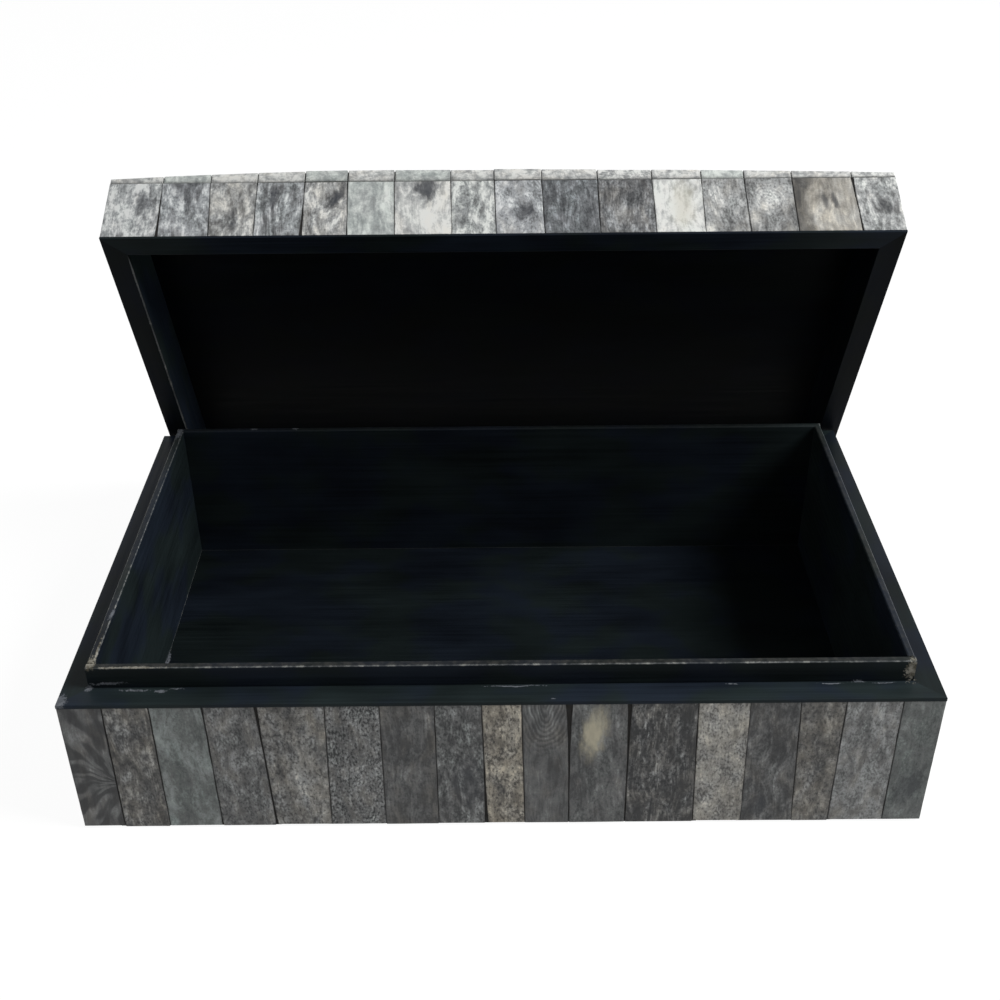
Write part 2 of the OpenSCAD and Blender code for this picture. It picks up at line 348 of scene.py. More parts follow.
def row_turn(node):
    """Turn that takes a row's directions (along, up, out) to the directions of the box."""
    if "slabs" in node:
        return lean_of(node)
    side = node.split("_")[1]
    return lean_of(node) @ Matrix.Rotation(math.radians(TURNS[side]), 3, "Z") @ UPRIGHT


print("the lid leans", round(math.degrees(lean_of_lid()), 1), "degrees")

# %% Find the tiles of a row
def solids_of(node, turn):
    """The corner points of each separate solid of a node, in the row's own directions."""
    shape = bmesh.new()
    shape.from_mesh(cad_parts[node].data)
    bmesh.ops.remove_doubles(shape, verts=shape.verts, dist=MERGE)
    back = turn.transposed()
    found = []
    waiting = set(shape.verts)
    while waiting:
        reached = [waiting.pop()]
        for vert in reached:
            for other in (e.other_vert(vert) for e in vert.link_edges):
                if other in waiting:
                    waiting.remove(other)
                    reached.append(other)
        found.append([back @ v.co for v in reached])
    shape.free()
    return sorted(found, key=lambda points: min(p.x for p in points))


def face_corners(points):
    """Outer corners of a tile as {(side, end): point}, and the depth of its glued face."""
    inner = min(p.z for p in points)
    middle = (inner + max(p.z for p in points)) / 2
    outer = sorted((p for p in points if p.z > middle), key=lambda p: p.y)
    half = len(outer) // 2
    rows = [sorted(some, key=lambda p: p.x) for some in (outer[:half], outer[half:])]
    return {(side, end): rows[end][-side] for side in (0, 1) for end in (0, 1)}, inner


# %% [markdown]
# ## Looks of the bone
# A maker sorts tiles by eye. These are the sorts that the photograph shows. Tone runs from 0, nearly
# black, to 1, nearly white. Warmth below zero is green-grey and above zero tan, and Cool adds a breath
# of blue. Slope darkens the left edge, or lightens it below zero. Mottle, Flecks, Fibre, Rings, Rays,
# Patch and Smudge say how much of each a tile has, and a smudge below zero is a light one.
#
# The centre is where rings, rays, patch and smudge start, in millimetres from the tile's middle. They
# go as far as Reach. Long draws them out, Turn tilts them by so many degrees, and Twin makes two of
# each. Pitch is the way from ring to ring.

# %% The sorts of bone
SORTS = {
    "feather": dict(Tone=0.25, Fibre=0.4, Rays=0.32, Mottle=0.35, Long=1.2, centre=(9, -5)),
    "rust": dict(Tone=0.46, Warmth=0.2, Mottle=1.1, Fibre=0.7, Flecks=0.6),
    "slate": dict(Tone=0.525, Warmth=-0.5, Mottle=0.4, Flecks=0.3, Fibre=0.2),
    "granite": dict(Tone=0.51, Mottle=0.65, Flecks=1.2, Fibre=0.2),
    "dark granite": dict(Tone=0.505, Mottle=0.7, Flecks=0.7, Fibre=0.2),
    "oat": dict(Tone=0.535, Warmth=0.05, Mottle=0.7, Flecks=0.8, Fibre=0.3),
    "bark": dict(Tone=0.265, Warmth=0.1, Mottle=1.2, Flecks=0.9, Fibre=1.2),
    "smoke": dict(Tone=0.325, Warmth=0.05, Mottle=0.5, Flecks=0.4, Fibre=0.5),
    "moss": dict(Tone=0.43, Warmth=-0.1, Mottle=1.1, Flecks=0.7, Fibre=0.3),
    "tan": dict(Tone=0.65, Warmth=0.5, Mottle=0.7, Flecks=0.9, Fibre=0.2),
    "ripple": dict(Tone=0.38, Mottle=0.5, Fibre=0.5, Rings=1.3),
    "pale speckle": dict(Tone=0.675, Warmth=0.25, Mottle=0.5, Flecks=0.7, Fibre=0.2),
    "mauve": dict(Tone=0.49, Warmth=0.25, Mottle=0.8, Flecks=0.6, Fibre=0.3),
    "ash": dict(Tone=0.58, Mottle=0.6, Flecks=0.5, Fibre=0.2),
    "cloud": dict(Tone=0.77, Warmth=-0.05, Mottle=1.0, Flecks=0.4, Fibre=0.4),
    "sage": dict(Tone=0.83, Warmth=-0.3, Mottle=0.5, Flecks=0.1, Fibre=0.2),
    "night": dict(Tone=0.60, Warmth=-0.1, Mottle=0.9, Flecks=0.5, Fibre=0.7),
    "milk": dict(Tone=0.91, Mottle=0.7, Fibre=0.3),
    "amber": dict(Tone=0.73, Warmth=0.3, Mottle=0.5, Fibre=0.3),
}
# Each tile of the two fronts: its sort, how much lighter it is than its sort, and what is its own
BASE_FRONT = [
    ("feather", 0.0, {}),
    ("rust", 0.0, {}),
    ("slate", 0.0, dict(Slope=-0.14)),
    ("dark granite", 0.0, {}),
    ("oat", 0.0, dict(Smudge=-0.35, Reach=7, Warmth=0.15, centre=(3, -12))),
    ("granite", 0.0, {}),
    ("smoke", 0.0, {}),
    ("moss", 0.0, dict(Smudge=0.7, Reach=7, centre=(3, -8))),
    ("tan", 0.0, dict(Smudge=0.5, Reach=5, centre=(-1, -10))),
    ("ripple", 0.0, dict(Reach=9, Long=2.4, Pitch=1.05, centre=(0, 30))),
    ("smoke", 0.07, dict(Patch=1.1, Warmth=-0.1, Reach=5.2, Long=2.2, Turn=14, centre=(-1.5, 15))),
    ("bark", 0.0, {}),
    ("pale speckle", 0.0, {}),
    ("smoke", -0.01, dict(Mottle=0.8, Smudge=0.8, Reach=3, centre=(-3, -20))),
    ("mauve", 0.0, {}),
    ("ash", 0.0, {}),
    ("slate", -0.09, dict(Smudge=0.6, Reach=5, centre=(0, -13))),
]
LID_FRONT = [
    ("cloud", 0.06, dict(Cool=0.3, Smudge=0.9, Reach=4, Turn=-20, centre=(4.5, 3))),
    ("cloud", -0.02, dict(Cool=0.6, Smudge=0.7, Reach=6, centre=(1, 11))),
    ("cloud", 0.0, dict(Warmth=0.05, Smudge=0.8, Reach=2.2, centre=(0, -9))),
    ("night", 0.05, dict(Cool=0.5, Smudge=1.1, Reach=2.2, Long=3, centre=(-2.5, 6))),
    ("cloud", -0.01, dict(Warmth=0.05, Smudge=1.4, Reach=3, Long=2.2, Turn=25, centre=(4.5, 7))),
    ("sage", 0.02, {}),
    ("milk", -0.045, dict(Smudge=1.5, Reach=5, Long=1.2, centre=(1, 10))),
    ("cloud", 0.05, dict(Warmth=-0.15, Smudge=0.6, Reach=2.5, Long=4, centre=(-3, -2))),
    ("ash", 0.195, dict(Cool=0.6, Smudge=0.8, Reach=4, Long=1.6, centre=(1, -3))),
    ("night", -0.165, dict(Warmth=-0.2, Cool=1.0)),
    ("night", -0.105, dict(Warmth=0.05, Cool=0.5)),
    ("milk", 0.005, dict(Warmth=-0.05, Patch=0.35, Reach=5, Long=3, centre=(2, 0))),
    ("ash", 0.08, dict(Fibre=0.5)),
    ("ash", 0.05, dict(Rings=0.5, Pitch=1.6, Smudge=-0.8, Reach=8, Long=1.15, centre=(-0.5, 3.5))),
    ("amber", -0.03, dict(Slope=0.35, Smudge=1.1, Reach=1.5, Long=3.2, Turn=-18, Twin=2.1,
                          centre=(1.5, 0))),
    ("cloud", -0.03, dict(Smudge=0.5, Reach=5, centre=(1, 2))),
]
COMMON = [name for name in SORTS if name not in ("feather", "milk", "amber")]
PALE = ["milk", "cloud", "sage", "milk"]


def looks_for(node, count, rng):
    """The look of each tile in a row: listed on the two fronts, mixed elsewhere, paler on top."""
    named = {"base_front_tiles": BASE_FRONT, "lid_front_tiles": LID_FRONT}.get(node)
    slabs = "slabs" in node
    choice = PALE * 3 + COMMON if slabs else COMMON
    if node == "lid_top_slabs_front":
        # The ends of this course show over the lid's front, all alike and pale, and darker at their
        # feet
        named = [(rng.choice(PALE), rng.uniform(-0.03, 0.03), dict(Tone=0.87, foot_darkening=2.2))
                 for _ in range(count)]
    named = named or [(rng.choice(choice), rng.uniform(-0.04, 0.06) + 0.06 * slabs, {})
                      for _ in range(count)]
    looks = []
    for name, lighter, own in named:
        look = dict(Reach=8, Long=1.8, Pitch=1.9) | SORTS[name] | own
        look["Tone"] += lighter
        looks.append(look)
    return looks


# %% [markdown]
# ## One tile
# A tile starts as a cube. Its face edges are bevelled, as the polishing cloth leaves them, and fine
# cuts across it make room for bends. Then it is pulled to the four corners that the frame gives,
# tipped by a hair, and its edges are made to wander as a hand saw does.

# %% Cut one tile
EDGE_RINGS = (0.4 * MM, 1.0 * MM, 2.2 * MM)
CUT_STEP = 3.2 * MM


def cut(shape, point, normal):
    everything = [*shape.verts, *shape.edges, *shape.faces]
    bmesh.ops.bisect_plane(shape, geom=everything, plane_co=point, plane_no=normal, dist=1e-7)


def cut_places(length):
    """Places of the cuts across a length: rings near both ends, even steps between them."""
    half = length / 2
    inside = half - EDGE_RINGS[-1]
    steps = max(1, round(2 * inside / CUT_STEP))
    even = [-inside + 2 * inside * i / steps for i in range(1, steps)]
    return [side * (half - ring) for ring in EDGE_RINGS for side in (-1, 1)] + even


def soften(shape, edges, width, segments):
    bmesh.ops.bevel(shape, geom=edges, offset=width, segments=segments, profile=0.5,
                    affect="EDGES", material=-1)


def soft_slab(width, height, depth, bevel, segments):
    """A slab centred on x and y, its back on z = 0, with soft edges round its face."""
    shape = bmesh.new()
    bmesh.ops.create_cube(shape, size=1.0)
    bmesh.ops.scale(shape, verts=shape.verts, vec=(width, height, depth))
    bmesh.ops.translate(shape, verts=shape.verts, vec=(0, 0, depth / 2))
    soft = [e for e in shape.edges if max(v.co.z for v in e.verts) > depth / 2]
    soften(shape, soft, bevel, segments)
    for x in cut_places(width):
        cut(shape, (x, 0, 0), (1, 0, 0))
    for y in cut_places(height):
        cut(shape, (0, y, 0), (0, 1, 0))
    return shape


# %% Write a look on a tile
END_STRETCH = 2.5


def write_look(shape, size, look, joints, seed):
    """Every vertex learns its place on the tile, how far a joint is, and the tile's look."""
    width, height, depth = size
    amounts = {name: shape.verts.layers.float.new(name.lower()) for name in AMOUNTS}
    edge = shape.verts.layers.float.new("edge")
    place = shape.verts.layers.float_vector.new("place")
    centre = shape.verts.layers.float_vector.new("centre")
    middle = Vector((*look.get("centre", (0, 0)), seed))
    for vert in shape.verts:
        x, y, z = vert.co
        gaps = {"left": x + width / 2, "right": width / 2 - x, "foot": y + height / 2,
                "top": height / 2 - y}
        below = END_STRETCH * (depth - z)
        # The pattern runs on over the ends, where it is finer
        x += (below if gaps["right"] < 1e-6 else 0) - (below if gaps["left"] < 1e-6 else 0)
        y += (below if gaps["top"] < 1e-6 else 0) - (below if gaps["foot"] < 1e-6 else 0)
        vert[place] = Vector((x / MM, y / MM, seed))
        vert[centre] = middle
        # Near the glued face a tile darkens, and a look may widen that band
        vert[edge] = min([gaps[side] for side in joints] + [z / look.get("foot_darkening", 1.0)]) / MM
        for name, layer in amounts.items():
            vert[layer] = look.get(name, 0.0)


# %% Bend a tile into its place
# How far an edge wanders, a tile grows into its joints, and its free foot is short, in millimetres
WANDER = 0.18
TIGHTEN = (0.02, 0.16)
SHORT_FOOT = 0.5
# How far its face tips across and along, sags, and is set back to stay inside the frame's tile
TIP_X = 0.08
TIP_Y = 0.10
SAG = 0.06
SET_BACK = 0.13
# Bends per millimetre
BENDS = 0.12


def lay_tile(points, look, joints, pull, soft, rng):
    """One tile as a bmesh in the row's directions; pull widens the joints at its two sides."""
    corners, inner = face_corners(points)
    width = (corners[1, 0] - corners[0, 0]).length
    height = (corners[0, 1] - corners[0, 0]).length
    depth = corners[0, 0].z - inner
    seed = rng.uniform(-500, 500)
    shape = soft_slab(width, height, depth, *soft)
    write_look(shape, (width, height, depth), look, joints, seed)
    tip_x = rng.uniform(-TIP_X, TIP_X) * MM
    tip_y = rng.uniform(-TIP_Y, TIP_Y) * MM
    short = rng.uniform(0.0, SHORT_FOOT) * MM if "foot" not in joints else 0.0
    grow = [rng.uniform(*TIGHTEN) * MM if side in joints else 0.0 for side in ("left", "right")]
    for vert in shape.verts:
        a, b, up = vert.co.x / width + 0.5, vert.co.y / height + 0.5, vert.co.z / depth
        side = 1 if a > 0.5 else 0
        face = corners[0, 0].lerp(corners[1, 0], a).lerp(corners[0, 1].lerp(corners[1, 1], a), b)
        out = 1 if side else -1
        bend = noise.noise(Vector((seed, vert.co.y / MM * BENDS, 5.0 + side * 9.0)))
        wander = WANDER * MM * bend
        if ("right" if side else "left") not in joints:
            wander = -out * abs(wander)
        wider = MM * (pull[side][0] * b ** 3 + pull[side][1] * (1 - b) ** 3)
        sideways = wander + (grow[side] - wider) * out
        sag = SAG * MM * noise.noise(Vector((face.x / MM * BENDS, face.y / MM * 0.08, seed)))
        lift = up * ((a - 0.5) * tip_x + (b - 0.5) * tip_y + sag - SET_BACK * MM)
        vert.co = Vector((face.x + sideways * (2 * a - 1) ** 4,
                          face.y + short * (1 - b) ** 6,
                          inner + (face.z - inner) * up + lift))
    return shape


# %% [markdown]
# ## Joints
# Between the tiles lies black filler, a little below their faces. Most joints are as thin as a line.
# A few on the fronts gape, because a tile was cut too narrow at its top or its foot.

# %% Filler and wide joints
# Extra width after a tile, in millimetres: first at its top, then at its foot
GAPING = {
    ("base_front_tiles", 3): (0.5, 0.2),
    ("base_front_tiles", 4): (0.8, 0.7),
    ("base_front_tiles", 8): (0.0, 1.2),
    ("base_front_tiles", 10): (2.2, 0.0),
    ("base_front_tiles", 11): (1.2, 0.1),
    ("lid_front_tiles", 1): (0.0, 1.1),
    ("lid_front_tiles", 4): (0.1, 1.0),
    ("lid_front_tiles", 15): (1.0, 0.4),
}
# How far the filler lies below the faces, and how far it ends before a free end
TILE_FILLER = (0.5 * MM, 0.1 * MM)
SLAB_FILLER = (0.8 * MM, 0.8 * MM)
FILLER_REACH = 1.2 * MM


def lay_filler(before, after, joints, below, short):
    """A bar of filler between two tiles, reaching a little into both."""
    (left, inner), (right, _) = face_corners(before), face_corners(after)
    shape = bmesh.new()
    bmesh.ops.create_cube(shape, size=1.0)
    for vert in shape.verts:
        end = 1 if vert.co.y > 0 else 0
        high = vert.co.z > 0
        corner = right[0, end] if vert.co.x > 0 else left[1, end]
        into = FILLER_REACH if vert.co.x > 0 else -FILLER_REACH
        back_off = short if ("top" if end else "foot") not in joints else 0.0
        vert.co = Vector((corner.x + into,
                          corner.y + back_off * (-1 if end else 1),
                          corner.z - below if high else inner))
    return shape


def joints_of(node, index, count):
    """The sides of a tile that meet another piece; the others stand free."""
    joints = {"left", "right", "foot", "top"}
    free = {"base": {"foot"}, "front": {"foot"}, "back": {"top"}}
    joints -= free.get(node.split("_")[-1] if "slabs" in node else node.split("_")[0], set())
    if "slabs" in node or node.split("_")[1] in ("front", "back"):
        joints -= {"left"} if index == 0 else set()
        joints -= {"right"} if index == count - 1 else set()
    return joints


# %% Lay every row
SOFT_TILE = (0.20 * MM, 2)
SOFT_SLAB = (0.34 * MM, 3)


def pour(parts):
    """Joins several bmeshes into one."""
    whole = bmesh.new()
    carrier = bpy.data.meshes.new("carrier")
    for part in parts:
        part.to_mesh(carrier)
        part.free()
        whole.from_mesh(carrier)
    bpy.data.meshes.remove(carrier)
    return whole


def to_object(shape, name, material):
    """Turns a finished bmesh into an object with one material."""
    mesh = bpy.data.meshes.new(name)
    shape.to_mesh(mesh)
    shape.free()
    mesh.materials.append(material)
    made = bpy.data.objects.new(name, mesh)
    add_to_scene(made)
    return made


def show(shape, name, material, turn, body):
    """Turns a finished bmesh into a piece of the base or the lid."""
    bmesh.ops.transform(shape, matrix=turn.to_4x4(), verts=shape.verts)
    piece = to_object(shape, name, material)
    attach(piece, body)
    return piece


def lay_row(node):
    """All tiles of a row as one piece, and the filler of its joints as bmeshes."""
    rng = random.Random(node)
    turn = row_turn(node)
    tiles = solids_of(node, turn)
    count = len(tiles)
    looks = looks_for(node, count, rng)
    soft = SOFT_SLAB if "slabs" in node else SOFT_TILE
    laid = []
    for i, points in enumerate(tiles):
        half = [[width / 2 for width in GAPING.get((node, n), (0.0, 0.0))] for n in (i, i + 1)]
        laid.append(lay_tile(points, looks[i], joints_of(node, i, count), half, soft, rng))
    piece = show(pour(laid), node + "_laid", bone_material, turn, node.split("_")[0])
    piece.data.shade_smooth()
    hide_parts(node)
    joints = joints_of(node, 1, count)
    depths = SLAB_FILLER if "slabs" in node else TILE_FILLER
    bars = [lay_filler(tiles[i], tiles[i + 1], joints, *depths) for i in range(count - 1)]
    for bar in bars:
        bmesh.ops.transform(bar, matrix=turn.to_4x4(), verts=bar.verts)
    return piece, bars


ROWS = [node for node in sorted(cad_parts) if "tiles" in node or "slabs" in node]
laid_rows = {node: lay_row(node) for node in ROWS}
print("rows:", len(ROWS), "faces:", sum(len(piece.data.polygons) for piece, _ in laid_rows.values()))

# %% [markdown]
# ## Glue and filler
# The base's four boards are never seen, apart from the dark line in each joint. They stay as the
# frame has them and get the black glue that the tiles are bedded in. The filler is the same stuff.

# %% Glue on the hidden boards, filler in the joints
glue_material, wires, shader = new_material("black glue on wood")
lumps = wires.clouds(wires.here(), 400.0, detail=4.0)
wires.join(wires.ramp(lumps, (0.3, (0.006, 0.006, 0.006)), (0.7, (0.022, 0.020, 0.018))),
           shader["Base Color"])
wires.join(wires.step(lumps, 0.3, 0.7, 0.6, 0.9), shader["Roughness"])
wires.emboss(shader, lumps, strength=0.5, depth=0.3)
shader["Specular IOR Level"].default_value = 0.2

for name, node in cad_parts.items():
    if name.startswith("base") and name.endswith("board"):
        node.data.materials.clear()
        node.data.materials.append(glue_material)

for body in ("base", "lid"):
    bars = [bar for node in ROWS if node.startswith(body) for bar in laid_rows[node][1]]
    filler = show(pour(bars), body + "_filler", glue_material, LEVEL, body)
    print(filler.name, len(filler.data.polygons), "faces")

# %% [markdown]
# ## Black lacquer
# The lacquer was brushed on, so it has faint strokes along each board, a little greener here and a
# little bluer there. Where lid and hands rub, it is thin, and the pale wood shows as a line that comes
# and goes. The group takes the place on the board, how light the black is, how far the nearest open
# arris is, how hard that arris was rubbed, how worn the surface is as a whole, and two masks, one for
# bare wood and one for scuffs.

# %% Brushed lacquer
wires, start, end = new_group("brushed lacquer",
                              ("Place", "Light", "Arris", "Rub", "Worn", "Bare", "Scuffs"),
                              ("Color", "Roughness", "Height"))
strokes = wires.clouds(start["Place"], (0.018, 1.1, 1.1), detail=3.0)
pools = wires.clouds(start["Place"], (0.022, 0.05, 0.05))
hue = wires.clouds(start["Place"], (0.03, 0.04, 0.045))
depth = wires.total(wires.times(strokes, 0.35), wires.times(pools, 0.65))
green = wires.ramp(depth, (0.35, (0.0060, 0.0088, 0.0092)), (0.65, (0.0150, 0.0220, 0.0230)))
blue = wires.ramp(depth, (0.35, (0.0060, 0.0082, 0.0125)), (0.65, (0.0140, 0.0200, 0.0300)))
black = wires.blend(wires.step(hue, 0.42, 0.58), green, blue)
# Light scales the black of each piece, and so paints light and shade into it
black = wires.node("ShaderNodeVectorMath", {0: black, "Scale": start["Light"]},
                   operation="SCALE").outputs[0]

slow = wires.clouds(start["Place"], 0.06, detail=1.0)
quick = wires.clouds(start["Place"], 0.42, detail=3.0, roughness=0.65)
dusty = wires.step(quick, 0.35, 0.70, 0.25, 1.0)
worn = wires.times(start["Worn"], dusty)
color = wires.blend(worn, black, (0.072, 0.070, 0.064))

reach = wires.calc("MULTIPLY_ADD", wires.times(quick, start["Rub"]), 0.50, 0.20)
line = wires.step(start["Arris"], wires.total(reach, 0.14), wires.calc("SUBTRACT", reach, 0.10))
comes_and_goes = wires.step(wires.around(slow, 1.6), -0.5, 0.35, 0.4, 1.0)
strength = wires.times(wires.step(start["Rub"], 0.0, 0.8), comes_and_goes)
line = wires.times(line, strength)
bright = wires.times(wires.step(quick, 0.48, 0.70), wires.step(start["Rub"], 0.3, 1.0))
wood = wires.blend(bright, (0.150, 0.157, 0.160), (0.37, 0.37, 0.34))
color = wires.blend(line, color, wood)
tan = wires.blend(wires.step(quick, 0.38, 0.62), (0.10, 0.092, 0.070), (0.30, 0.285, 0.245))
color = wires.blend(start["Bare"], color, tan)
scuffed = wires.blend(quick, (0.03, 0.034, 0.04), (0.21, 0.225, 0.25))
color = wires.blend(start["Scuffs"], color, scuffed)

bare = wires.calc("MAXIMUM", line, start["Bare"])
rough = wires.total(wires.step(strokes, 0.3, 0.7, 0.38, 0.52), wires.times(bare, 0.3))
height = wires.calc("SUBTRACT", wires.times(strokes, 0.4), bare)
wires.join(color, end["Color"])
wires.join(rough, end["Roughness"])
wires.join(height, end["Height"])
lacquer_group = wires.tree
print("brushed lacquer:", len(lacquer_group.nodes), "nodes")

# %% [markdown]
# ## Marks
# Besides the worn lines there are single marks. Where a corner was knocked or rubbed, the wood is bare
# and tan. Chips and the scuffs left by the lid's rim are grey. Each mark is a small soft ellipsoid
# with a ragged edge. Its place and its half sizes are given in millimetres.

# %% One mark as a group
wires, start, end = new_group("one mark", ("Place", "Centre", "Half X", "Half Y", "Half Z"), ("Mask",))
drift = wires.node("ShaderNodeTexNoise", {"Vector": start["Place"], "Scale": 0.13, "Detail": 1.0})
drift = wires.vector("SUBTRACT", drift.outputs["Color"], (0.5, 0.5, 0.5))
away = wires.vector("SUBTRACT", start["Place"], start["Centre"])
away = wires.vector("ADD", away, wires.stretch(drift, 1.6, 1.6, 1.6))
half = wires.point(start["Half X"], start["Half Y"], start["Half Z"])
away = wires.vector("DIVIDE", away, half)
ragged = wires.clouds(start["Place"], 1.2, detail=3.0, roughness=0.7)
size = wires.total(wires.length(away), wires.around(ragged, 2.8))
wires.join(wires.step(size, 1.05, 0.6), end["Mask"])
mark_group = wires.tree

# %% Where the marks are
BARE_WOOD = {
    "right front corner, knocked bare": ((142.3, -84.8, 63.5), (3.0, 3.4, 4.8)),
    "left front corner, rubbed": ((-142, -82.5, 67.3), (2.6, 4.2, 1.8)),
    "rubbed on from there, outside": ((-142.9, -71, 67.3), (0.5, 11.0, 0.6)),
    "rubbed on from there, inside": ((-140.7, -75, 67.3), (0.5, 8.0, 0.6)),
    "front lip, left end": ((-128, -85, 67.2), (13.0, 0.6, 0.5)),
}
SCUFFS = {
    "chip in the left lip": ((-141, -54, 67.4), (0.7, 3.4, 1.2)),
    "back left corner of the lip": ((-142, 81, 67.4), (1.8, 5.0, 0.8)),
    "speck on the back lip": ((-109, 84, 67.4), (1.6, 0.8, 0.8)),
    "second speck on the back lip": ((-91, 84, 67.4), (1.4, 0.8, 0.8)),
    "chip in the ledge's corner": ((-151.5, -92.5, 58.5), (2.4, 4.2, 1.6)),
    "scratch on the lip's front": ((-136, -85.2, 60.4), (6.5, 0.8, 0.6)),
    "scuff by the lip's foot": ((-127, -86.6, 58.8), (5.5, 0.7, 0.8)),
    "second scuff": ((-117.5, -87.3, 58.5), (2.2, 0.9, 0.7)),
    "third scuff": ((-112.5, -86.0, 58.8), (3.6, 0.6, 0.7)),
    "left of the lip's foot": ((-143.0, -85.8, 58.8), (1.4, 1.8, 1.3)),
    "flecks at the middle": ((5, -86, 58.5), (10.0, 0.35, 0.7)),
    "fleck near the ledge's edge": ((18, -93, 58.5), (1.2, 0.4, 0.7)),
    "fleck on the right": ((80, -86, 58.5), (2.0, 0.4, 0.7)),
    "scuff on the right": ((114, -86, 58.5), (4.0, 0.3, 0.7)),
    "second scuff on the right": ((124, -85.6, 58.5), (3.0, 0.4, 0.7)),
    "third scuff on the right": ((133, -86, 58.5), (4.0, 0.3, 0.7)),
    "scratch at the floor's left edge": ((-139.8, -2, 4.2), (0.7, 8.0, 1.4)),
}


def all_marks(wires, here, marks):
    """One mask that holds a whole list of marks."""
    masks = []
    for centre, (x, y, z) in marks.values():
        mark = wires.node("ShaderNodeGroup", {"Place": here, "Centre": centre, "Half X": x,
                          "Half Y": y, "Half Z": z}, node_tree=mark_group)
        masks.append(mark.outputs["Mask"])
    return wires.calc("MINIMUM", wires.total(*masks), 1.0)


# %% The lacquer materials
def make_lacquer(name, with_marks, gloss):
    material, wires, shader = new_material(name)
    lacquer = wires.node("ShaderNodeGroup", node_tree=lacquer_group)
    wires.join(wires.read("place", "Vector"), lacquer.inputs["Place"])
    for value in ("Light", "Arris", "Rub", "Worn"):
        wires.join(wires.read(value.lower()), lacquer.inputs[value])
    if with_marks:
        here = wires.stretch(wires.here(), 1 / MM, 1 / MM, 1 / MM)
        wires.join(all_marks(wires, here, BARE_WOOD), lacquer.inputs["Bare"])
        wires.join(all_marks(wires, here, SCUFFS), lacquer.inputs["Scuffs"])
    wires.finish(shader, lacquer, strength=0.3, depth=0.08)
    shader["Specular IOR Level"].default_value = gloss
    return material


lid_lacquer = make_lacquer("brushed lacquer", False, 0.03)
base_lacquer = make_lacquer("brushed lacquer with marks", True, 0.06)
print("marks:", len(BARE_WOOD) + len(SCUFFS))

# %% [markdown]
# ## Arrises that get rubbed
# An arris is the sharp line where two faces of a board meet. Only the open ones wear: the top of the
# lip, the edges of the rims, and the line where dust gathers on the floor. Each is a line with a
# strength, measured from the frame's boxes, and the lid's are given in the level lid's directions.

# %% List the arrises
def level_box(node):
    """Lowest and highest corner of a node, with the lid's lean taken out."""
    back = lean_of(node).transposed()
    points = [back @ v.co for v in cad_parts[node].data.vertices]
    return (Vector([min(p[i] for p in points) for i in range(3)]),
            Vector([max(p[i] for p in points) for i in range(3)]))


def loop_of(low, high, z, strengths):
    """Four lines round a rectangle: front, right, back and left, each with its strength."""
    corners = [(low.x, low.y), (high.x, low.y), (high.x, high.y), (low.x, high.y)]
    points = [Vector((x, y, z)) for x, y in corners]
    return [(points[i], points[(i + 1) % 4], strengths[i]) for i in range(4)]


def inset(low, high, distance):
    step = Vector((distance, distance, 0))
    return low + step, high - step


lip_low, lip_high = level_box("lining_front")[0], level_box("lining_back")[1]
lining_t = level_box("lining_front")[1].y - lip_low.y
rim_low, rim_high = level_box("base_rim_front")[0], level_box("base_rim_back")[1]
floor_z = level_box("bottom_panel")[1].z
lid_low, lid_high = level_box("lid_rim_front")[0], level_box("lid_rim_back")[1]
lid_rim_w = level_box("lid_rim_front")[1].y - lid_low.y

BASE_ARRISES = [
    *loop_of(lip_low, lip_high, lip_high.z, (0.76, 0.55, 0.15, 1.08)),
    *loop_of(*inset(lip_low, lip_high, lining_t), lip_high.z, (0.44, 0.46, 0.30, 0.72)),
    *loop_of(rim_low, rim_high, rim_high.z, (0.04, 0.04, 0.04, 0.05)),
    *loop_of(*inset(lip_low, lip_high, lining_t), floor_z, (0.02, 0.02, 0.26, 0.80)),
]
LID_ARRISES = [
    *loop_of(lid_low, lid_high, lid_low.z, (0.03, 0.04, 0.03, 0.04)),
    *loop_of(*inset(lid_low, lid_high, lid_rim_w), lid_low.z, (0.20, 0.16, 0.10, 1.05)),
]
# How worn the top of the lip is as a whole
LIP_TOP_WORN = {"front": 0.46, "right": 0.32, "back": 0.14, "left": 0.20}
# How light the black is on each piece. These factors paint light and shade into the lacquer: the
# cavity's floor and the lid's inner panel are darkened as painted shade, and the lid's left inner wall
# and the ledge's left strip are lightened as painted light. The first name that fits counts
PAINTED_LIGHT_AND_SHADE = {"lid_rim_front": 0.95, "lid_rim_right": 0.34, "lid_rim": 0.42, "lid_left_board": 2.20,
             "lid": 0.24, "bottom": 0.60, "base_rim_right": 0.75, "base_rim_left": 1.35,
             "base": 1.18, "lining_back": 0.78, "lining_front": 0.78, "lining": 1.0}
print("arrises:", len(BASE_ARRISES) + len(LID_ARRISES))

# %% [markdown]
# ## Boards and strips
# Each black piece is a copy of its node, merged and cleaned. Open arrises are softened, cuts near the
# edges give the wear something to follow, and every vertex learns its distance to the nearest arris.

# %% Cuts near the edges
BOARD_RINGS = (0.35 * MM, 0.8 * MM, 1.5 * MM, 3.0 * MM)
BOARD_STEP = 9.0 * MM
ARRIS_NEAR = 0.75 * MM


def distance_to(line, point):
    start, end, _ = line
    along = end - start
    share = max(0.0, min(1.0, (point - start).dot(along) / along.length_squared))
    return (start + along * share - point).length


def is_arris(edge, arrises):
    ends = [v.co for v in edge.verts]
    return any(all(distance_to(line, p) < ARRIS_NEAR for p in ends) for line in arrises)


